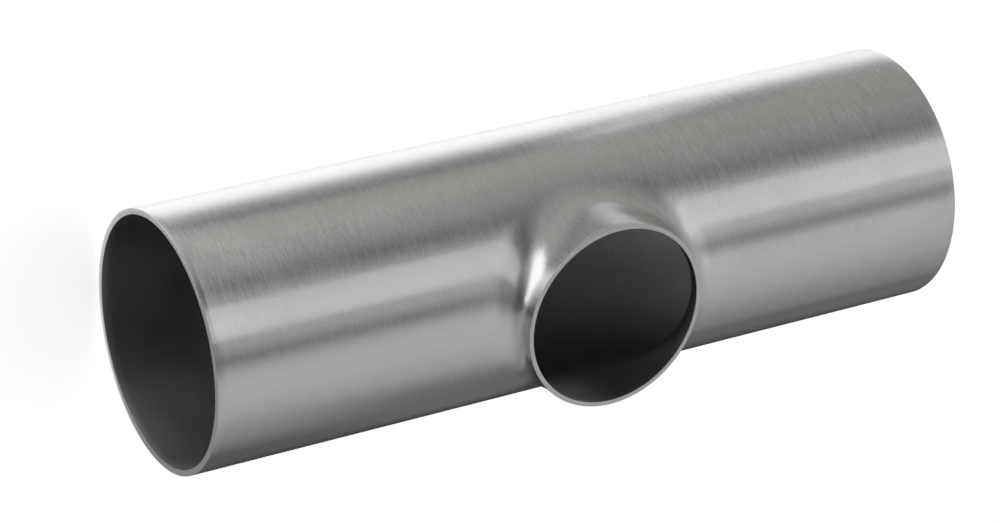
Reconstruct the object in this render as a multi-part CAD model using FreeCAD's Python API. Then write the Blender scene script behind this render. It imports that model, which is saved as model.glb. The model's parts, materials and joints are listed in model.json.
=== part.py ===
"""Short reducing weld tee in thin stainless tube, formed in one piece.

The run is a length of straight tube. A smaller branch is pulled out of its side wall: the wall
is drawn over a rounded die into a short collar, which is then faced off square, as both ends of
the run are. The collar's lip comes out thinner than the tube that it was drawn from. The wall
turns sharply into the collar at the two crowns, on the run's crest, and sweeps into it more
gently at the two saddles, on the run's flanks, so the blend's radius grows from crown to saddle.

The frame's origin is where the run's axis crosses the branch's axis. +X lies along the run and
+Z along the branch, which is up. The tee lies on a flat surface as it comes to rest by itself:
the opening takes more metal out of the run's crest than the short collar brings back, so the
side away from the branch is the heavier one and turns to the ground. Everything is in
millimetres.
"""

import FreeCAD
import Part

import math
import os

# Driving dimensions.
RUN_OUTER_DIAMETER = 51.0
RUN_WALL = 1.2
CENTRE_TO_RUN_END = 82.0
BRANCH_OUTER_DIAMETER = 38.0
BRANCH_LIP_WALL = 0.9
CENTRE_TO_BRANCH_END = 29.5
CROWN_BLEND_RADIUS = 3.5
SADDLE_BLEND_RADIUS = 12.0
EDGE_BREAK = 0.1

# Sizes that follow from them.
RUN_OUTER_RADIUS = RUN_OUTER_DIAMETER / 2
RUN_BORE_RADIUS = RUN_OUTER_RADIUS - RUN_WALL
BRANCH_OUTER_RADIUS = BRANCH_OUTER_DIAMETER / 2
BRANCH_BORE_RADIUS = BRANCH_OUTER_RADIUS - BRANCH_LIP_WALL

# The collar is drawn too long by this much before it is faced off square.
FACING_STOCK = 2 * SADDLE_BLEND_RADIUS

ORIGIN = FreeCAD.Vector(0, 0, 0)
RUN_AXIS = FreeCAD.Vector(1, 0, 0)
BRANCH_AXIS = FreeCAD.Vector(0, 0, 1)
ACROSS = FreeCAD.Vector(0, 1, 0)

# The angle round the branch's axis from a crown, on X, to a saddle, on Y.
CROWN_TO_SADDLE = 90

# Edges and points closer together than this are in the same place.
NEAR = 1e-4


def crossing_edge(body, run_radius, branch_radius):
    """The corner where the branch's wall leaves the run's: its middle lies on both cylinders."""
    for edge in body.Edges:
        middle = edge.valueAt((edge.FirstParameter + edge.LastParameter) / 2)
        on_run = abs(math.hypot(middle.y, middle.z) - run_radius) < NEAR
        on_branch = abs(math.hypot(middle.x, middle.y) - branch_radius) < NEAR
        if on_run and on_branch:
            return edge


def blended_quarter(run_radius, branch_radius, crown_blend, saddle_blend):
    """A solid run and branch with the corner between them rounded, in the quarter +X and +Y.

    The seam of the branch's wall is turned to a saddle, where that wall is tallest.
    """
    branch_length = CENTRE_TO_BRANCH_END + FACING_STOCK
    run = Part.makeCylinder(run_radius, CENTRE_TO_RUN_END, ORIGIN, RUN_AXIS)
    branch = Part.makeCylinder(branch_radius, branch_length, ORIGIN, BRANCH_AXIS)
    branch.rotate(ORIGIN, BRANCH_AXIS, CROWN_TO_SADDLE)
    quarter = Part.makeBox(
        CENTRE_TO_RUN_END,
        run_radius,
        branch_length + run_radius,
        FreeCAD.Vector(0, 0, -run_radius),
    )
    body = run.fuse(branch).common(quarter).removeSplitter()
    corner = crossing_edge(body, run_radius, branch_radius)
    starts_at_crown = abs(corner.Vertexes[0].Y) < NEAR
    if starts_at_crown:
        return body.makeFillet(crown_blend, saddle_blend, [corner])
    return body.makeFillet(saddle_blend, crown_blend, [corner])


def faced_quarter():
    """One quarter of the tee: the wall between its outside and its bore, with the collar faced."""
    outside = blended_quarter(
        RUN_OUTER_RADIUS,
        BRANCH_OUTER_RADIUS,
        CROWN_BLEND_RADIUS,
        SADDLE_BLEND_RADIUS,
    )
    bore = blended_quarter(
        RUN_BORE_RADIUS,
        BRANCH_BORE_RADIUS,
        CROWN_BLEND_RADIUS + RUN_WALL,
        SADDLE_BLEND_RADIUS + RUN_WALL,
    )
    kept = Part.makeBox(
        CENTRE_TO_RUN_END,
        RUN_OUTER_RADIUS,
        CENTRE_TO_BRANCH_END + RUN_OUTER_RADIUS,
        FreeCAD.Vector(0, 0, -RUN_OUTER_RADIUS),
    )
    return outside.cut(bore).common(kept)


def is_rim(edge):
    """Whether an edge is a rim of a faced end: curved, and in the plane of one of the cuts."""
    curved = edge.Curve.TypeId != "Part::GeomLine"
    middle = edge.valueAt((edge.FirstParameter + edge.LastParameter) / 2)
    box = edge.BoundBox
    on_run_end = box.XLength < NEAR and abs(middle.x - CENTRE_TO_RUN_END) < NEAR
    on_branch_end = box.ZLength < NEAR and abs(middle.z - CENTRE_TO_BRANCH_END) < NEAR
    return curved and (on_run_end or on_branch_end)


def make_tee():
    """The whole tee: one quarter with its sharp rims broken, mirrored to all four."""
    quarter = faced_quarter()
    rims = [edge for edge in quarter.Edges if is_rim(edge)]
    quarter = quarter.makeChamfer(EDGE_BREAK, rims)
    half = quarter.fuse(quarter.mirror(ORIGIN, RUN_AXIS))
    whole = half.fuse(half.mirror(ORIGIN, ACROSS)).removeSplitter()
    return whole.Solids[0]


os.makedirs("parts", exist_ok=True)
tee_body = make_tee()
tee_body.exportStep("parts/tee_body.step")
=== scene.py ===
"""Dresses the reducing weld tee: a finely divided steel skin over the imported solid, and its studio.

Every size is in metres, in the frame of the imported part. The run lies along X and the collar
stands up along Z. The tee rests on the run's side away from the collar, and the camera looks down
on it from between -Y and +X, so the run's end at +X is the near one.
"""

import json
import math

import bmesh
import bpy
from mathutils import Matrix, Vector


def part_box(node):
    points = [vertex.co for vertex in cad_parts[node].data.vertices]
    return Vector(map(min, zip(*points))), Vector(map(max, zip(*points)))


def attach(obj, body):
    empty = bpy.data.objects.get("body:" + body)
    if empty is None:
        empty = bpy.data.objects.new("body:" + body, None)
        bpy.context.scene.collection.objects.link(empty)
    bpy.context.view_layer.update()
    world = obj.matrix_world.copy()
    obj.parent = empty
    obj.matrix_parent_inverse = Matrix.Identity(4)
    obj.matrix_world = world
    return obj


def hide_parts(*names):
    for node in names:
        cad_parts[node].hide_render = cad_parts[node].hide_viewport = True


bl_info = {
    "name": "Reducing weld tee",
    "version": (1, 0, 0),
    "blender": (4, 5, 0),
    "location": "View3D > Sidebar > Weld tee",
    "description": "Builds a pulled reducing tee in brushed stainless tube, with its studio",
    "category": "Add Mesh",
}

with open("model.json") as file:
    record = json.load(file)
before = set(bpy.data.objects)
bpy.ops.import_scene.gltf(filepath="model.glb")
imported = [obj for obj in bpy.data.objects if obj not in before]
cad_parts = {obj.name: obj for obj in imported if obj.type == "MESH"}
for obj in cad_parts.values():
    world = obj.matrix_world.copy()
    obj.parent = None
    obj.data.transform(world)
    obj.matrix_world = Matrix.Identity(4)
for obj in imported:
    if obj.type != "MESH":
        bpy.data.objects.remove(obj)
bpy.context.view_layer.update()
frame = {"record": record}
MOUNTS = {mount["name"]: mount for mount in frame["record"]["mounts"]}
LOWEST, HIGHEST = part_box("tee_body")

MILLIMETRE = 0.001

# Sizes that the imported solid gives.
RUN_OUTER_RADIUS = -LOWEST.z
RUN_BORE_RADIUS = MOUNTS["run_bore"]["dims"]["r_mm"] * MILLIMETRE
BRANCH_BORE_RADIUS = MOUNTS["branch_bore"]["dims"]["r_mm"] * MILLIMETRE
RUN_HALF_LENGTH = HIGHEST.x
BRANCH_HEIGHT = HIGHEST.z
RUN_WALL = RUN_OUTER_RADIUS - RUN_BORE_RADIUS


class WeldTeeForm(bpy.types.PropertyGroup):
    """Sizes of the collar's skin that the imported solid's mounts don't state."""

    lip_wall: bpy.props.FloatProperty(
        name="Lip wall",
        description="Thickness of the collar's lip",
        default=0.9 * MILLIMETRE,
        unit="LENGTH",
    )
    crown_blend: bpy.props.FloatProperty(
        name="Crown blend",
        description="Outer blend radius on the run's crest",
        default=3.5 * MILLIMETRE,
        unit="LENGTH",
    )
    saddle_blend: bpy.props.FloatProperty(
        name="Saddle blend",
        description="Outer blend radius on the run's flanks",
        default=12.0 * MILLIMETRE,
        unit="LENGTH",
    )
    edge_break: bpy.props.FloatProperty(
        name="Edge break",
        description="Radius of the broken edges on the three faced ends",
        default=0.1 * MILLIMETRE,
        unit="LENGTH",
    )


class WeldTeeSteel(bpy.types.PropertyGroup):
    """Colours and gloss of the steel's finishes."""

    outside_colour: bpy.props.FloatVectorProperty(
        name="Outside",
        description="Colour of the brushed outside",
        subtype="COLOR",
        default=(0.625, 0.62, 0.61),
    )
    outside_roughness: bpy.props.FloatProperty(
        name="Outside roughness",
        description="Roughness of the brushed outside",
        default=0.26,
        subtype="FACTOR",
    )
    outside_anisotropy: bpy.props.FloatProperty(
        name="Brushing",
        description="How much the brushing spreads reflections along the run",
        default=0.85,
        subtype="FACTOR",
    )
    mark_depth: bpy.props.FloatProperty(
        name="Mark depth",
        description="Depth of the brush marks",
        default=0.008 * MILLIMETRE,
        unit="LENGTH",
    )
    # The bore's colour is its pickled finish, made darker than that as painted shade for the inside of
    # the tube.
    bore_colour: bpy.props.FloatVectorProperty(
        name="Bore",
        description="Colour of the dull, pickled bore",
        subtype="COLOR",
        default=(0.35, 0.345, 0.335),
    )
    bore_roughness: bpy.props.FloatProperty(
        name="Bore roughness",
        description="Roughness of the bore",
        default=0.4,
        subtype="FACTOR",
    )
    rim_colour: bpy.props.FloatVectorProperty(
        name="Faced ends",
        description="Colour of the faced ends",
        subtype="COLOR",
        default=(0.6, 0.6, 0.6),
    )
    rim_roughness: bpy.props.FloatProperty(
        name="Faced ends roughness",
        description="Roughness of the faced ends",
        default=0.45,
        subtype="FACTOR",
    )


class WeldTeeStudio(bpy.types.PropertyGroup):
    """Camera, floor and light."""

    lens: bpy.props.FloatProperty(
        name="Lens",
        description="Focal length of the camera on a 36 mm sensor",
        default=138.86,
        unit="CAMERA",
    )
    distance: bpy.props.FloatProperty(
        name="Camera distance",
        description="Distance from the camera to the point that it looks at",
        default=0.75318,
        unit="LENGTH",
    )
    azimuth: bpy.props.FloatProperty(
        name="Camera azimuth",
        description="Direction that the camera stands in, from -Y towards +X",
        default=math.radians(45.205),
        subtype="ANGLE",
    )
    elevation: bpy.props.FloatProperty(
        name="Camera elevation",
        description="Height of the camera above the horizon, as an angle",
        default=math.radians(49.636),
        subtype="ANGLE",
    )
    roll: bpy.props.FloatProperty(
        name="Camera roll",
        description="Turn of the camera about the line that it looks along",
        default=math.radians(129.21),
        subtype="ANGLE",
    )
    aim: bpy.props.FloatVectorProperty(
        name="Aim",
        description="Point that the camera looks at",
        default=(0.00653, 0.00156, -0.00301),
        unit="LENGTH",
    )
    floor_colour: bpy.props.FloatVectorProperty(
        name="Floor",
        description="Colour of the pale floor",
        subtype="COLOR",
        default=(0.85, 0.85, 0.85),
    )
    floor_lift: bpy.props.FloatProperty(
        name="Floor lift",
        description="How much of the floor's white doesn't come from the lamps",
        default=0.7,
        subtype="FACTOR",
    )


# The finishes, in the order of the skin's materials.
OUTSIDE, BORE, RIM = range(3)

# How finely the skin is divided. The collar's rings have four sides, one for each of its patch's.
SIDE_STEPS = 64
RING_STEPS = 4 * SIDE_STEPS
UNDERSIDE_STEPS = 80
TUBE_STEPS = 24
PATCH_STEPS = 28
BLEND_STEPS = 18
COLLAR_STEPS = 3
BREAK_STEPS = 3
RIM_STEPS = 2

# Points of the skin that are closer together than this are one point.
SAME_POINT = 0.002 * MILLIMETRE

# How far from the corner the bend sets in on each wall, in reaches of the rolling ball's arc, and
# how much of the room between that arc and the lip it may take up.
RUN_SIDE_STRETCH = 1.4
BRANCH_SIDE_STRETCH = 1.4
LIP_ROOM_SHARE = 0.8

# The patch of the run round the collar, where the skin's rings change from round to square.
PATCH_HALF_LENGTH = 0.036
PATCH_HALF_ANGLE = math.radians(88)


def on_tube(radius, x, angle):
    """A point on a tube round the X axis. The angle turns from +Z, at 0, towards +Y."""
    return Vector((x, radius * math.sin(angle), radius * math.cos(angle)))


def blend_radius(turn, crown_blend, saddle_blend):
    """The blend's radius at an angle round the branch, from the crown's to the saddle's."""
    return crown_blend + (saddle_blend - crown_blend) * math.sin(turn) ** 2


def blend_section(turn, tube_radius, branch_radius, radius):
    """The rolling ball's centre, and where it touches the run and the branch."""
    reach = branch_radius + radius
    across = reach * math.sin(turn)
    height = math.sqrt((tube_radius + radius) ** 2 - across**2)
    centre = Vector((reach * math.cos(turn), across, height))
    share = tube_radius / (tube_radius + radius)
    on_run = Vector((centre.x, centre.y * share, centre.z * share))
    share = branch_radius / (branch_radius + radius)
    on_branch = Vector((centre.x * share, centre.y * share, centre.z))
    return centre, on_run, on_branch


def bend_side(centre_to_touch, axis, reach, half_turn, stretch):
    """How a bend leaves one wall: the shift of its end past the touching point, and its handle.

    The handle is as long as it takes for the bend's middle to lie on the rolling ball's arc, where
    both sides are stretched alike.
    """
    towards_bend = axis.cross(centre_to_touch).normalized()
    handle = reach * stretch * (4 - 4 / ((1 + math.cos(half_turn)) * stretch)) / 3
    return -towards_bend * reach * (stretch - 1), towards_bend * handle


def curve_points(start, leaving, arriving, end):
    """Points along the smooth curve between two ends, each of which has its handle."""
    points = []
    for step in range(BLEND_STEPS + 1):
        share = step / BLEND_STEPS
        rest = 1 - share
        points.append(
            start * rest**3
            + leaving * (3 * share * rest**2)
            + arriving * (3 * share**2 * rest)
            + end * share**3
        )
    return points


def drawn_bend(turn, tube_radius, branch_radius, radius, top):
    """Points from the run up to the branch's wall, through a bend that sets in gently.

    It touches the rolling ball's arc in the middle, and starts further out on both walls than the
    arc does, as far as the lip leaves room.
    """
    centre, on_run, on_branch = blend_section(turn, tube_radius, branch_radius, radius)
    from_run = on_run - centre
    from_branch = on_branch - centre
    half_turn = from_run.angle(from_branch) / 2
    reach = radius * math.tan(half_turn)
    axis = from_run.cross(from_branch).normalized()
    shift, run_handle = bend_side(from_run, axis, reach, half_turn, RUN_SIDE_STRETCH)
    start = on_run + shift
    start.yz = start.yz * (tube_radius / start.yz.length)
    room = (top - on_branch.z) / reach
    stretch = min(BRANCH_SIDE_STRETCH, 1 + LIP_ROOM_SHARE * room)
    shift, branch_handle = bend_side(from_branch, -axis, reach, half_turn, stretch)
    end = on_branch + shift
    end.xy = end.xy * (branch_radius / end.xy.length)
    return curve_points(start, start + run_handle, end + branch_handle, end)


def patch_border(turn):
    """Where an angle round the branch meets the patch's border: how far along X and round the run."""
    quarter = math.pi / 2
    side = round(turn / quarter)
    offset = (turn - side * quarter) / (quarter / 2)
    places = ((1, offset), (-offset, 1), (-1, -offset), (offset, -1))
    along, around = places[side % 4]
    return along * PATCH_HALF_LENGTH, around * PATCH_HALF_ANGLE


def patch_row(turn, tube_radius, on_run):
    """Points on the run from the patch's border in to the blend, the blend's edge left out."""
    border_x, border_angle = patch_border(turn)
    inner_angle = math.atan2(on_run.y, on_run.z)
    points = []
    for step in range(PATCH_STEPS):
        share = step / PATCH_STEPS
        x = border_x + (on_run.x - border_x) * share
        angle = border_angle + (inner_angle - border_angle) * share
        points.append(on_tube(tube_radius, x, angle))
    return points


def side_section(form, turn, inside):
    """One side of the wall at an angle round the branch, from the patch's border up to the lip."""
    tube_radius = RUN_BORE_RADIUS if inside else RUN_OUTER_RADIUS
    added = RUN_WALL if inside else 0
    branch_radius = BRANCH_BORE_RADIUS if inside else BRANCH_BORE_RADIUS + form.lip_wall
    radius = blend_radius(turn, form.crown_blend + added, form.saddle_blend + added)
    top = BRANCH_HEIGHT - form.edge_break
    bend = drawn_bend(turn, tube_radius, branch_radius, radius, top)
    points = patch_row(turn, tube_radius, bend[0]) + bend
    lip = Vector((branch_radius * math.cos(turn), branch_radius * math.sin(turn), top))
    for step in range(1, COLLAR_STEPS + 1):
        points.append(bend[-1].lerp(lip, step / COLLAR_STEPS))
    return points


def break_arc(centre, from_side, from_end):
    """A broken edge as a small quarter round, from the wall's side to the end's face."""
    points = []
    for step in range(1, BREAK_STEPS + 1):
        turn = math.pi / 2 * step / BREAK_STEPS
        points.append(centre + from_side * math.cos(turn) + from_end * math.sin(turn))
    return points


def rim_section(form, side_end, radial, axial, wall):
    """Over a faced end, from the outer side's last point to the inner side's last point."""
    small = form.edge_break
    outer_centre = side_end - radial * small
    inner_centre = side_end - radial * (wall - small)
    outer = break_arc(outer_centre, radial * small, axial * small)
    inner = break_arc(inner_centre, -radial * small, axial * small)
    inner.reverse()
    flat = [outer[-1].lerp(inner[0], step / RIM_STEPS) for step in range(1, RIM_STEPS)]
    return outer + flat + inner


def collar_section(form, turn):
    """The whole section through the collar's wall: up the outside, over the lip, down the bore."""
    outside = side_section(form, turn, False)
    inside = side_section(form, turn, True)
    inside.reverse()
    radial = Vector((math.cos(turn), math.sin(turn), 0))
    lip = rim_section(form, outside[-1], radial, Vector((0, 0, 1)), form.lip_wall)
    return outside + lip + inside


def tube_section(form, angle, end):
    """The section of one end of the run: along the outside, over the faced end, back in the bore."""
    last = RUN_HALF_LENGTH - form.edge_break
    outside = []
    inside = []
    for step in range(TUBE_STEPS + 1):
        x = end * (PATCH_HALF_LENGTH + (last - PATCH_HALF_LENGTH) * step / TUBE_STEPS)
        outside.append(on_tube(RUN_OUTER_RADIUS, x, angle))
        inside.append(on_tube(RUN_BORE_RADIUS, x, angle))
    inside.reverse()
    radial = Vector((0, math.sin(angle), math.cos(angle)))
    rim = rim_section(form, outside[-1], radial, Vector((end, 0, 0)), RUN_WALL)
    return outside + rim + inside


def section_finishes(side_points):
    """The finish of each strip along a section: outside, over the rim, then the bore."""
    rim_strips = 2 * BREAK_STEPS + RIM_STEPS
    return [OUTSIDE] * (side_points - 1) + [RIM] * rim_strips + [BORE] * (side_points - 1)


def add_grid(mesh, columns, finishes, flip):
    """Quads between neighbouring columns of points. Each strip along them has its own finish."""
    made = [[mesh.verts.new(point) for point in column] for column in columns]
    for left, right in zip(made, made[1:]):
        for row, finish in enumerate(finishes):
            corners = [left[row], left[row + 1], right[row + 1], right[row]]
            if flip:
                corners.reverse()
            face = mesh.faces.new(corners)
            face.material_index = finish
            face.smooth = True


def across_patch(half_width):
    """The steps of a side of the patch, from one end of it to the other."""
    return [half_width * (2 * step / SIDE_STEPS - 1) for step in range(SIDE_STEPS + 1)]


def underside_angles():
    """Angles from one side of the patch to the other, round the underside."""
    whole = 2 * math.pi - 2 * PATCH_HALF_ANGLE
    return [PATCH_HALF_ANGLE + whole * step / UNDERSIDE_STEPS for step in range(UNDERSIDE_STEPS + 1)]


def ring_angles():
    """Angles round the run: over the patch in the steps of its sides, then on round the underside."""
    return across_patch(PATCH_HALF_ANGLE) + underside_angles()[1:]


def fill_skin(mesh, form):
    """The whole skin: the collar with its patch, both ends of the run, and the underside."""
    turns = [2 * math.pi * step / RING_STEPS for step in range(RING_STEPS + 1)]
    side_points = PATCH_STEPS + BLEND_STEPS + 1 + COLLAR_STEPS
    collar = [collar_section(form, turn) for turn in turns]
    add_grid(mesh, collar, section_finishes(side_points), True)
    for end in (-1, 1):
        tube = [tube_section(form, angle, end) for angle in ring_angles()]
        add_grid(mesh, tube, section_finishes(TUBE_STEPS + 1), end < 0)
    along = across_patch(PATCH_HALF_LENGTH)
    for radius, finish, flip in ((RUN_OUTER_RADIUS, OUTSIDE, False), (RUN_BORE_RADIUS, BORE, True)):
        under = [[on_tube(radius, x, angle) for x in along] for angle in underside_angles()]
        add_grid(mesh, under, [finish] * SIDE_STEPS, flip)
    bmesh.ops.remove_doubles(mesh, verts=mesh.verts, dist=SAME_POINT)


def add_node(tree, kind, inputs=None, **settings):
    """A new node with its settings. Each input is a value, or the socket that feeds it."""
    node = tree.nodes.new(kind)
    for name, value in settings.items():
        setattr(node, name, value)
    for key, value in (inputs or {}).items():
        if isinstance(value, bpy.types.NodeSocket):
            tree.links.new(value, node.inputs[key])
        else:
            node.inputs[key].default_value = value
    return node


def calculate(tree, operation, *values):
    """The output of a Math node on the given values or sockets."""
    inputs = dict(enumerate(values))
    return add_node(tree, "ShaderNodeMath", inputs, operation=operation).outputs[0]


def split(tree, vector):
    """The three outputs of a vector, for X, Y and Z."""
    return add_node(tree, "ShaderNodeSeparateXYZ", {0: vector}).outputs


def lay_noise(tree, place, per_metre, detail, roughness):
    """Soft random values over the given places."""
    inputs = {"Vector": place, "Scale": per_metre, "Detail": detail, "Roughness": roughness}
    return add_node(tree, "ShaderNodeTexNoise", inputs).outputs[0]


def ease(tree, value, low, high, at_low, at_high):
    """A smooth change from one value to another as the input goes from low to high."""
    inputs = {
        "Value": value,
        "From Min": low,
        "From Max": high,
        "To Min": at_low,
        "To Max": at_high,
    }
    return add_node(tree, "ShaderNodeMapRange", inputs, interpolation_type="SMOOTHSTEP").outputs[0]


# The sockets of a Mix node that belong to colours.
MIX_SHARE = 0
MIX_FIRST_COLOUR = 6
MIX_SECOND_COLOUR = 7
MIX_COLOUR = 2


def blend_colours(tree, share, first, second):
    """A mix of two colours or sockets."""
    inputs = {MIX_SHARE: share, MIX_FIRST_COLOUR: first, MIX_SECOND_COLOUR: second}
    return add_node(tree, "ShaderNodeMix", inputs, data_type="RGBA").outputs[MIX_COLOUR]


def new_group(name, inputs, outputs):
    """An empty shader node group that takes a vector and numbers and gives numbers.

    Returns the group, the outputs of its input node, and the inputs of its output node.
    """
    group = bpy.data.node_groups.new(name, "ShaderNodeTree")
    group.interface.new_socket("Vector", in_out="INPUT", socket_type="NodeSocketVector")
    for socket in inputs:
        group.interface.new_socket(socket, in_out="INPUT", socket_type="NodeSocketFloat")
    for socket in outputs:
        group.interface.new_socket(socket, in_out="OUTPUT", socket_type="NodeSocketFloat")
    given = group.nodes.new("NodeGroupInput").outputs
    result = group.nodes.new("NodeGroupOutput").inputs
    return group, given, result


# The brush marks are two layers of streaks. Each has its shares of the grain's counts across and
# along the brushing, and its detail.
STREAK_LAYERS = ((1.0, 1.0, 2.0), (2.3, 0.45, 1.0))
STREAK_ROUGHNESS = 0.6

# Patches where the brush was pressed harder, and the values that they set in and end at.
WEAR_PER_METRE = 70.0
WEAR_DETAIL = 3.0
WEAR_ROUGHNESS = 0.5
WEAR_RANGE = (0.3, 0.7)

# The middle of a soft random value, and of the marks.
MIDDLE = 0.5


def make_grain_group():
    """Fine marks of brushing: short and long streaks that run round the X axis.

    Marks is the height of the streaks, and Wear where the brush was pressed harder.
    """
    given_names = ("Across", "Along", "Contrast")
    group, given, result = new_group("brush_grain", given_names, ("Marks", "Wear"))
    x, y, z = split(group, given["Vector"])
    streaks = []
    for across_share, along_share, detail in STREAK_LAYERS:
        across = calculate(group, "MULTIPLY", given["Across"], across_share)
        along = calculate(group, "MULTIPLY", given["Along"], along_share)
        inputs = {
            0: calculate(group, "MULTIPLY", x, across),
            1: calculate(group, "MULTIPLY", y, along),
            2: calculate(group, "MULTIPLY", z, along),
        }
        place = add_node(group, "ShaderNodeCombineXYZ", inputs).outputs[0]
        streaks.append(lay_noise(group, place, 1.0, detail, STREAK_ROUGHNESS))
    both = calculate(group, "ADD", *streaks)
    centred = calculate(group, "SUBTRACT", both, 2 * MIDDLE)
    marks = calculate(group, "MULTIPLY_ADD", centred, given["Contrast"], MIDDLE)
    group.links.new(marks, result["Marks"])
    wear = lay_noise(group, given["Vector"], WEAR_PER_METRE, WEAR_DETAIL, WEAR_ROUGHNESS)
    group.links.new(ease(group, wear, *WEAR_RANGE, 0.0, 1.0), result["Wear"])
    return group


def lay_grain(tree, place, grain_group, grain):
    """The marks and the wear of a grain, by its counts and its contrast."""
    inputs = {"Vector": place, **grain}
    outputs = add_node(tree, "ShaderNodeGroup", inputs, node_tree=grain_group).outputs
    return outputs["Marks"], outputs["Wear"]


def start_material(name, colour, roughness):
    """A bare metal. Returns the material, its tree, its shader and the object's coordinates."""
    material = bpy.data.materials.new(name)
    material.use_nodes = True
    tree = material.node_tree
    shader = tree.nodes["Principled BSDF"]
    shader.inputs["Base Color"].default_value = (*colour, 1)
    shader.inputs["Metallic"].default_value = 1
    shader.inputs["Roughness"].default_value = roughness
    place = add_node(tree, "ShaderNodeTexCoord").outputs["Object"]
    return material, tree, shader, place


def add_bump(tree, shader, height, depth):
    """Marks of a depth in metres, cut as the height says."""
    bump = add_node(tree, "ShaderNodeBump", {"Distance": depth, "Height": height})
    tree.links.new(bump.outputs[0], shader.inputs["Normal"])


def tinted(colour, tint):
    """A colour with each part multiplied, and no part over 1."""
    return (*(min(1, part * factor) for part, factor in zip(colour, tint)), 1)


# Marks per metre across and along the brushing, and how much high and low ones differ.
OUTSIDE_GRAIN = {"Across": 2700.0, "Along": 420.0, "Contrast": 1.4}
BORE_GRAIN = {"Across": 1500.0, "Along": 900.0, "Contrast": 1.0}
RIM_GRAIN = {"Across": 2500.0, "Along": 2500.0, "Contrast": 1.0}
BORE_MARK_DEPTH = 0.012 * MILLIMETRE
RIM_MARK_DEPTH = 0.015 * MILLIMETRE

# Where the hand polish of the collar gives way to the run's brushing: by the distance from the
# branch's axis, and by the height, as the run is brushed all round lower down.
POLISH_ENDS = (0.021, 0.034)
POLISH_FLOOR = (-0.004, 0.01)
POLISHED_MARK_SHARE = 0.12

# Along Y, where the marks of the flank towards -Y give way to shallower ones, and along X, from
# its near to its far half, where that flank's marks get deeper.
FLANK_MARKS_END = (-0.018, -0.008)
FAR_HALF_MARKS = (0.02, -0.02)
SHALLOW_MARK_SHARE = 0.5
DEEP_MARK_SHARE = 1.9

# Slow waves left by the polishing wheel, and their heights in marks' depths on the collar and on
# the run.
WAVES_PER_METRE = 160.0
WAVE_DETAIL = 1.0
WAVE_ROUGHNESS = 0.4
COLLAR_WAVES = 11.0
RUN_WAVES = 2.0

# How far the roughness moves with the polish, the brushing, the wear and the marks.
POLISH_GAIN = 0.045
BRUSHED_GAIN = 0.025
WEAR_GAIN = 0.05
MARK_GAIN = 0.08

# How far the roughness of the bore and the faced ends moves with the wear.
DULL_WEAR_GAIN = 0.08

# How much less the polished collar spreads its reflections along the run, and the quarter of a
# turn that lays that spread along the run, as the shader counts it.
POLISHED_SPREAD_LOSS = 0.45
QUARTER_TURN = 0.25

# How far the colour moves with the marks, and the colours that it moves between.
TONE_SWING = 0.55
LIGHT_MARK_TINT = (1.11, 1.12, 1.13)
DARK_MARK_TINT = (0.895, 0.88, 0.865)

# Painted light in the bore: where it turns paler, for the light that falls in by the run's ends: by
# the distance from the run's middle, and along Y.
CLEANED_END = (0.045, 0.07)
CLEANED_FLANK = (0.011, 0.022)
CLEANED_TINT = 2.1


def brushed_share(tree, x, y, z):
    """How far a place is brushed and not polished by hand: 0 on the collar, 1 away from it."""
    flat = add_node(tree, "ShaderNodeCombineXYZ", {0: x, 1: y})
    length = add_node(tree, "ShaderNodeVectorMath", {0: flat.outputs[0]}, operation="LENGTH")
    far = ease(tree, length.outputs["Value"], *POLISH_ENDS, 0.0, 1.0)
    below = ease(tree, z, *POLISH_FLOOR, 1.0, 0.0)
    return calculate(tree, "MAXIMUM", far, below)


def outside_relief(tree, place, marks, brushed, mark_share):
    """The brush marks and the polishing wheel's waves, in marks' depths."""
    depth = calculate(tree, "MULTIPLY_ADD", brushed, 1 - POLISHED_MARK_SHARE, POLISHED_MARK_SHARE)
    depth = calculate(tree, "MULTIPLY", depth, mark_share)
    cut = calculate(tree, "MULTIPLY", marks, depth)
    waves = lay_noise(tree, place, WAVES_PER_METRE, WAVE_DETAIL, WAVE_ROUGHNESS)
    height = calculate(tree, "MULTIPLY_ADD", brushed, RUN_WAVES - COLLAR_WAVES, COLLAR_WAVES)
    return calculate(tree, "ADD", cut, calculate(tree, "MULTIPLY", waves, height))


def outside_roughness(tree, steel, marks, wear, brushed):
    """Smoother where it is polished, rougher with wear and in the marks."""
    polished = steel.outside_roughness - POLISH_GAIN - MARK_GAIN / 2
    rough = calculate(tree, "MULTIPLY_ADD", brushed, BRUSHED_GAIN, polished)
    rough = calculate(tree, "MULTIPLY_ADD", wear, WEAR_GAIN, rough)
    return calculate(tree, "MULTIPLY_ADD", marks, MARK_GAIN, rough)


def outside_tone(tree, steel, marks, mark_share):
    """The steel's colour, lighter and darker with the marks."""
    from_middle = calculate(tree, "SUBTRACT", marks, MIDDLE)
    swing = calculate(tree, "MULTIPLY", mark_share, TONE_SWING)
    tone = calculate(tree, "MULTIPLY_ADD", from_middle, swing, MIDDLE)
    dark = tinted(steel.outside_colour, DARK_MARK_TINT)
    light = tinted(steel.outside_colour, LIGHT_MARK_TINT)
    return blend_colours(tree, tone, dark, light)


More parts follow.
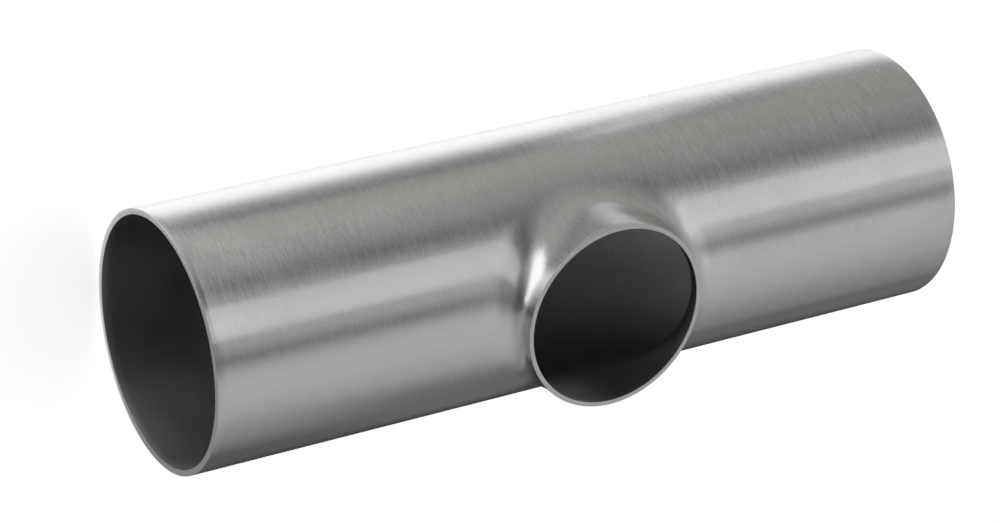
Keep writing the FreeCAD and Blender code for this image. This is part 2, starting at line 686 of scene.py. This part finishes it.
def make_outside(steel, grain_group):
    """Brushed round the run, and polished by hand on the collar and its blend."""
    material, tree, shader, place = start_material(
        "brushed_outside", steel.outside_colour, steel.outside_roughness
    )
    marks, wear = lay_grain(tree, place, grain_group, OUTSIDE_GRAIN)
    x, y, z = split(tree, place)
    brushed = brushed_share(tree, x, y, z)
    flank_share = ease(tree, x, *FAR_HALF_MARKS, 1.0, DEEP_MARK_SHARE)
    mark_share = ease(tree, y, *FLANK_MARKS_END, flank_share, SHALLOW_MARK_SHARE)
    add_bump(tree, shader, outside_relief(tree, place, marks, brushed, mark_share), steel.mark_depth)
    spread = calculate(
        tree,
        "MULTIPLY_ADD",
        brushed,
        POLISHED_SPREAD_LOSS,
        steel.outside_anisotropy - POLISHED_SPREAD_LOSS,
    )
    tangent = add_node(tree, "ShaderNodeTangent", direction_type="RADIAL", axis="X")
    fed = {
        "Roughness": outside_roughness(tree, steel, marks, wear, brushed),
        "Base Color": outside_tone(tree, steel, marks, mark_share),
        "Anisotropic": spread,
        "Tangent": tangent.outputs[0],
    }
    for name, output in fed.items():
        tree.links.new(output, shader.inputs[name])
    shader.inputs["Anisotropic Rotation"].default_value = QUARTER_TURN
    return material


def start_dull_material(name, colour, roughness, grain_group, grain, mark_depth):
    """A metal with marks of one depth all over, whose roughness moves with its wear."""
    material, tree, shader, place = start_material(name, colour, roughness)
    marks, wear = lay_grain(tree, place, grain_group, grain)
    add_bump(tree, shader, marks, mark_depth)
    smoothest = roughness - DULL_WEAR_GAIN / 2
    rough = calculate(tree, "MULTIPLY_ADD", wear, DULL_WEAR_GAIN, smoothest)
    tree.links.new(rough, shader.inputs["Roughness"])
    return material, tree, shader, place


def make_bore(steel, grain_group):
    """Dull, pickled metal with faint drawing marks, its colour darkened as painted shade, and paler by
    the ends of the run as painted light.
    """
    material, tree, shader, place = start_dull_material(
        "pickled_bore_painted_light_and_shade",
        steel.bore_colour,
        steel.bore_roughness,
        grain_group,
        BORE_GRAIN,
        BORE_MARK_DEPTH,
    )
    x, y, _ = split(tree, place)
    # Painted light: the bore is made paler towards the run's ends and towards +Y.
    end = ease(tree, calculate(tree, "ABSOLUTE", x), *CLEANED_END, 0.0, 1.0)
    cleaned = ease(tree, y, *CLEANED_FLANK, 0.0, end)
    # The bore's colour: its pickled finish, darkened as painted shade.
    pickled = (*steel.bore_colour, 1)
    paler = tinted(steel.bore_colour, (CLEANED_TINT, CLEANED_TINT, CLEANED_TINT))
    tree.links.new(blend_colours(tree, cleaned, pickled, paler), shader.inputs["Base Color"])
    return material


def make_rim(steel, grain_group):
    """Faced square, with the fine marks of the cut."""
    return start_dull_material(
        "faced_rim",
        steel.rim_colour,
        steel.rim_roughness,
        grain_group,
        RIM_GRAIN,
        RIM_MARK_DEPTH,
    )[0]


# The camera's sensor, in millimetres, and the distances that it sees between.
SENSOR_WIDTH = 36.0
CLIP_START = 0.01
CLIP_END = 20.0


def make_camera(studio):
    """The camera at the photograph's angle to the tee, rolled as the photograph is."""
    data = bpy.data.cameras.new("camera")
    data.sensor_width = SENSOR_WIDTH
    data.lens = studio.lens
    data.clip_start = CLIP_START
    data.clip_end = CLIP_END
    camera = bpy.data.objects.new("camera", data)
    bpy.context.scene.collection.objects.link(camera)
    flat = math.cos(studio.elevation)
    back = Vector(
        (
            math.sin(studio.azimuth) * flat,
            -math.cos(studio.azimuth) * flat,
            math.sin(studio.elevation),
        )
    )
    upright = (-back).to_track_quat("-Z", "Y").to_matrix()
    rolled = upright @ Matrix.Rotation(studio.roll, 3, "Z")
    place = Vector(studio.aim) + back * studio.distance
    camera.matrix_world = Matrix.Translation(place) @ rolled.to_4x4()
    bpy.context.scene.camera = camera


# The strip light, above and beyond the far end: its place, what it faces, its sides and its
# radiance.
STRIP_PLACE = Vector((-0.75, -0.459, 0.68))
STRIP_AIM = Vector((-0.75, 0, 0))
STRIP_SIZE = (1.9, 0.4)
STRIP_RADIANCE = 0.4


def make_strip_light():
    """A soft strip of light, which the camera doesn't see."""
    data = bpy.data.lights.new("key_strip", "AREA")
    data.shape = "RECTANGLE"
    data.size, data.size_y = STRIP_SIZE
    data.energy = STRIP_RADIANCE * math.pi * data.size * data.size_y
    lamp = bpy.data.objects.new("key_strip", data)
    bpy.context.scene.collection.objects.link(lamp)
    lamp.location = STRIP_PLACE
    lamp.rotation_mode = "QUATERNION"
    lamp.rotation_quaternion = (STRIP_AIM - STRIP_PLACE).to_track_quat("-Z", "Y")
    lamp.visible_camera = False


FLOOR_SIZE = 6.0


def make_floor(studio):
    """A pale floor that keeps the tee's shadow and looks white to the camera and in the steel."""
    bpy.ops.mesh.primitive_plane_add(size=FLOOR_SIZE, location=(0, 0, LOWEST.z))
    floor = bpy.context.object
    floor.name = "floor"
    material = bpy.data.materials.new("floor")
    material.use_nodes = True
    tree = material.node_tree
    shader = tree.nodes["Principled BSDF"]
    shader.inputs["Base Color"].default_value = (*studio.floor_colour, 1)
    shader.inputs["Roughness"].default_value = 1
    shader.inputs["Specular IOR Level"].default_value = 0
    path = add_node(tree, "ShaderNodeLightPath").outputs
    seen = calculate(tree, "MAXIMUM", path["Is Camera Ray"], path["Is Glossy Ray"])
    seen = calculate(tree, "MAXIMUM", seen, path["Is Transmission Ray"])
    lift = calculate(tree, "MULTIPLY", seen, studio.floor_lift)
    shader.inputs["Emission Color"].default_value = (1, 1, 1, 1)
    tree.links.new(lift, shader.inputs["Emission Strength"])
    floor.data.materials.append(material)


# The sides of a sheet.
SHEET_SIDES = ("Left", "Right", "Near", "Far")

# Sheets laid on the floor round the tee, the later ones on top, which only its reflections show:
# the low corner, the high corner, the light, and the share of the width or depth that each side
# fades over, in the order left, right, near, far.
SHEET_STEP = 0.0001
FLOOR_SHEETS = (
    ("grey_sheet", (-3.0, -3.0), (3.0, -0.03), (0.36, 0.358, 0.35), (0.01, 0.01, 0.01, 0.002)),
    ("dark_sheet", (-3.0, 0.03), (3.0, 3.0), (0.12, 0.12, 0.12), (0.01, 0.01, 0.003, 0.01)),
    ("far_end_sheet", (-1.0, 0.03), (-0.07, 0.6), (0.19, 0.19, 0.19), (0.3, 0.08, 0.01, 0.5)),
    ("near_end_sheet", (0.084, -0.03), (3.0, 3.0), (0.36, 0.355, 0.35), (0.002, 0.01, 0.01, 0.01)),
    ("pale_sheet", (-0.25, -0.8), (0.3, -0.046), (0.45, 0.447, 0.44), (0.45, 0.3, 0.3, 0.01)),
    ("line_sheet", (-0.12, -0.07), (0.12, -0.047), (0.22, 0.22, 0.22), (0.6, 0.1, 0.4, 0.4)),
    ("light_sheet", (-0.42, -0.048), (0.3, -0.02), (1.42, 1.43, 1.49), (0.66, 0.29, 0.65, 0.18)),
    ("collar_sheet", (-0.062, -0.064), (-0.014, -0.039), (0.8, 0.8, 0.82), (0.5, 0.5, 0.4, 0.4)),
    ("side_light_sheet", (0.065, -0.25), (0.3, -0.046), (1.5, 1.5, 1.52), (0.15, 0.4, 0.6, 0.01)),
    # Painted shadow: a near-black sheet beside the run's contact on +Y, for the tee's shadow on the
    # floor as its reflections show it.
    ("contact_shadow_sheet", (-0.25, 0.03), (0.08, 0.1), (0.03, 0.03, 0.03), (0.2, 0.1, 0.1, 0.6)),
)

# Sheets that stand up: two bright ones at the near end, which face the far end and light the
# collar's near side, one of them over the run's crest, and a dark one behind the tee, which shades
# the flank by the collar. Each has its four corners, with their heights over the floor, its light
# and its soft sides.
STANDING_SHEETS = (
    (
        "side_sheet",
        ((0.081, -0.0265, 0.001), (0.081, -0.25, 0.001), (0.081, -0.25, 0.08), (0.081, -0.0265, 0.08)),
        (1.6, 1.6, 1.62),
        (0.01, 0.6, 0.01, 0.35),
    ),
    (
        "crest_sheet",
        (
            (0.081, -0.009, 0.0505),
            (0.081, -0.0265, 0.036),
            (0.081, -0.0265, 0.08),
            (0.081, -0.009, 0.08),
        ),
        (1.6, 1.6, 1.62),
        (0.4, 0.01, 0.01, 0.7),
    ),
    (
        "shade_sheet",
        ((-0.05, 0.1, 0.001), (0.032, 0.1, 0.001), (0.032, 0.1, 0.12), (-0.05, 0.1, 0.12)),
        (0.19, 0.19, 0.19),
        (0.45, 0.45, 0.01, 0.5),
    ),
)


def make_soft_edge_group():
    """How much of a sheet shows: all of it inside, and less and less towards its soft sides."""
    group, given, result = new_group("soft_edges", SHEET_SIDES, ("Mask",))
    x, y, _ = split(group, given["Vector"])
    from_right = calculate(group, "SUBTRACT", 1.0, x)
    from_far = calculate(group, "SUBTRACT", 1.0, y)
    mask = 1.0
    for side, distance in zip(SHEET_SIDES, (x, from_right, y, from_far)):
        shown = ease(group, distance, 0.0, given[side], 0.0, 1.0)
        mask = calculate(group, "MULTIPLY", mask, shown)
    group.links.new(mask, result["Mask"])
    return group


def sheet_material(name, light, soft_sides, edge_group):
    """A glow that is clear from behind and fades out towards the sheet's soft sides."""
    material = bpy.data.materials.new(name)
    material.use_nodes = True
    tree = material.node_tree
    tree.nodes.clear()
    place = add_node(tree, "ShaderNodeTexCoord").outputs["UV"]
    inputs = {"Vector": place, **dict(zip(SHEET_SIDES, soft_sides))}
    edges = add_node(tree, "ShaderNodeGroup", inputs, node_tree=edge_group)
    behind = add_node(tree, "ShaderNodeNewGeometry").outputs["Backfacing"]
    front = calculate(tree, "SUBTRACT", 1.0, behind)
    mask = calculate(tree, "MULTIPLY", edges.outputs["Mask"], front)
    clear = add_node(tree, "ShaderNodeBsdfTransparent")
    glow = add_node(tree, "ShaderNodeEmission", {"Color": (*light, 1)})
    inputs = {0: mask, 1: clear.outputs[0], 2: glow.outputs[0]}
    shown = add_node(tree, "ShaderNodeMixShader", inputs)
    add_node(tree, "ShaderNodeOutputMaterial", {"Surface": shown.outputs[0]})
    return material


def make_sheet(name, corners, light, soft_sides, edge_group):
    """A flat sheet of light, which only the steel's reflections see."""
    data = bpy.data.meshes.new(name)
    points = [(x, y, LOWEST.z + height) for x, y, height in corners]
    data.from_pydata(points, [], [range(len(corners))])
    unwrapped = data.uv_layers.new(name="sheet")
    for loop, place in zip(unwrapped.data, ((0, 0), (1, 0), (1, 1), (0, 1))):
        loop.uv = place
    data.materials.append(sheet_material(name, light, soft_sides, edge_group))
    sheet = bpy.data.objects.new(name, data)
    bpy.context.scene.collection.objects.link(sheet)
    sheet.visible_camera = False
    sheet.visible_diffuse = False
    sheet.visible_shadow = False
    sheet.visible_transmission = False


def flat_corners(low, high, height):
    """The corners of a sheet that lies flat at a height over the floor."""
    return (
        (low[0], low[1], height),
        (high[0], low[1], height),
        (high[0], high[1], height),
        (low[0], high[1], height),
    )


def make_sheets():
    """All the sheets, on the floor and standing."""
    edge_group = make_soft_edge_group()
    for layer, (name, low, high, light, soft_sides) in enumerate(FLOOR_SHEETS, 1):
        corners = flat_corners(low, high, layer * SHEET_STEP)
        make_sheet(name, corners, light, soft_sides, edge_group)
    for name, corners, light, soft_sides in STANDING_SHEETS:
        make_sheet(name, corners, light, soft_sides, edge_group)


# The room's greys by the angle round the run, in degrees from straight up towards +Y: in the
# directions that the run shows by its near end, in those that it shows by its far end, and in
# those towards +X, which the collar's near side shows. Towards -X the room is one grey.
ROOM_BY_NEAR_END = (
    (-95, 0.47),
    (-80, 0.38),
    (-71, 0.26),
    (-63, 0.12),
    (-52, 0.22),
    (-41, 0.27),
    (-31, 0.38),
    (-21, 0.27),
    (-11, 0.32),
    (-4, 0.21),
    (1, 0.21),
    (9, 0.42),
    (19, 0.6),
    (39, 0.59),
    (62, 0.44),
    (90, 0.19),
)
ROOM_BY_FAR_END = (
    (-95, 0.27),
    (-80, 0.23),
    (-66, 0.2),
    (-60, 0.35),
    (-52, 0.76),
    (-41, 0.55),
    (-31, 0.52),
    (-21, 0.8),
    (-11, 0.98),
    (-6, 0.52),
    (-1, 0.2),
    (4, 0.5),
    (9, 1.05),
    (19, 0.82),
    (39, 0.61),
    (62, 0.4),
    (79, 0.26),
    (90, 0.38),
)
ROOM_PAST_COLLAR = (
    (-95, 1.3),
    (-82, 0.95),
    (-67, 0.55),
    (-52, 0.33),
    (-30, 0.15),
    (-15, 0.08),
    (6, 0.1),
    (14, 0.4),
    (45, 0.46),
    (90, 0.36),
)
ROOM_PAST_FAR_END = 0.52

# Where one set of greys gives way to the next, by how far a direction points along X.
FROM_NEAR_TO_FAR = (-0.43, -0.53)
TO_PAST_COLLAR = (0.05, 0.6)
TO_PAST_FAR_END = (-0.45, -0.95)


def add_ramp(tree, share, stops):
    """A ramp of greys over the whole turn, with its stops at angles in degrees."""
    ramp = add_node(tree, "ShaderNodeValToRGB", {0: share})
    elements = ramp.color_ramp.elements
    for angle, grey in stops:
        elements.new((angle + 180) / 360).color = (grey, grey, grey, 1)
    # The two stops that every ramp starts with, at its ends.
    elements.remove(elements[0])
    elements.remove(elements[len(elements) - 1])
    return ramp.outputs[0]


def make_room():
    """The room's light: greys that change round the run and along it."""
    world = bpy.data.worlds.new("room")
    world.use_nodes = True
    tree = world.node_tree
    x, y, z = split(tree, add_node(tree, "ShaderNodeTexCoord").outputs["Generated"])
    angle = calculate(tree, "ARCTAN2", y, z)
    share = calculate(tree, "MULTIPLY_ADD", angle, 1 / (2 * math.pi), 0.5)
    near = add_ramp(tree, share, ROOM_BY_NEAR_END)
    far = add_ramp(tree, share, ROOM_BY_FAR_END)
    past_collar = add_ramp(tree, share, ROOM_PAST_COLLAR)
    past_far_end = (ROOM_PAST_FAR_END, ROOM_PAST_FAR_END, ROOM_PAST_FAR_END, 1)
    light = blend_colours(tree, ease(tree, x, *FROM_NEAR_TO_FAR, 0.0, 1.0), near, far)
    light = blend_colours(tree, ease(tree, x, *TO_PAST_COLLAR, 0.0, 1.0), light, past_collar)
    light = blend_colours(tree, ease(tree, x, *TO_PAST_FAR_END, 0.0, 1.0), light, past_far_end)
    tree.links.new(light, tree.nodes["Background"].inputs["Color"])
    bpy.context.scene.world = world


class WELDTEE_OT_build_body(bpy.types.Operator):
    """Build the tee's skin and give it its finishes"""

    bl_idname = "weldtee.build_body"
    bl_label = "Build the tee"

    def execute(self, context):
        steel = context.scene.weldtee_steel
        mesh = bmesh.new()
        fill_skin(mesh, context.scene.weldtee_form)
        data = bpy.data.meshes.new("tee_skin")
        mesh.to_mesh(data)
        mesh.free()
        skin = bpy.data.objects.new("tee_skin", data)
        context.scene.collection.objects.link(skin)
        grain_group = make_grain_group()
        data.materials.append(make_outside(steel, grain_group))
        data.materials.append(make_bore(steel, grain_group))
        data.materials.append(make_rim(steel, grain_group))
        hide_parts("tee_body")
        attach(skin, "root")
        return {"FINISHED"}


class WELDTEE_OT_build_stage(bpy.types.Operator):
    """Build the floor, the light and the camera"""

    bl_idname = "weldtee.build_stage"
    bl_label = "Build the stage"

    def execute(self, context):
        studio = context.scene.weldtee_studio
        context.scene.view_settings.view_transform = "Standard"
        make_camera(studio)
        make_floor(studio)
        make_room()
        make_strip_light()
        make_sheets()
        return {"FINISHED"}


class WELDTEE_PT_sidebar(bpy.types.Panel):
    """Lists the tee's sizes and finishes, its studio, and the buttons that build them"""

    bl_idname = "WELDTEE_PT_sidebar"
    bl_label = "Weld tee"
    bl_space_type = "VIEW_3D"
    bl_region_type = "UI"
    bl_category = "Weld tee"

    def draw(self, context):
        scene = context.scene
        parts = (
            (WELDTEE_OT_build_body, (scene.weldtee_form, scene.weldtee_steel)),
            (WELDTEE_OT_build_stage, (scene.weldtee_studio,)),
        )
        for operator, groups in parts:
            box = self.layout.box()
            for group in groups:
                for name in type(group).__annotations__:
                    box.prop(group, name)
            box.operator(operator.bl_idname)


CLASSES = (
    WeldTeeForm,
    WeldTeeSteel,
    WeldTeeStudio,
    WELDTEE_OT_build_body,
    WELDTEE_OT_build_stage,
    WELDTEE_PT_sidebar,
)


def register():
    for item in CLASSES:
        bpy.utils.register_class(item)
    bpy.types.Scene.weldtee_form = bpy.props.PointerProperty(type=WeldTeeForm)
    bpy.types.Scene.weldtee_steel = bpy.props.PointerProperty(type=WeldTeeSteel)
    bpy.types.Scene.weldtee_studio = bpy.props.PointerProperty(type=WeldTeeStudio)


def unregister():
    del bpy.types.Scene.weldtee_studio
    del bpy.types.Scene.weldtee_steel
    del bpy.types.Scene.weldtee_form
    for item in reversed(CLASSES):
        bpy.utils.unregister_class(item)


def main():
    """Builds the tee and its stage from the operators."""
    register()
    bpy.ops.weldtee.build_body()
    bpy.ops.weldtee.build_stage()


if __name__ == "__main__":
    main()
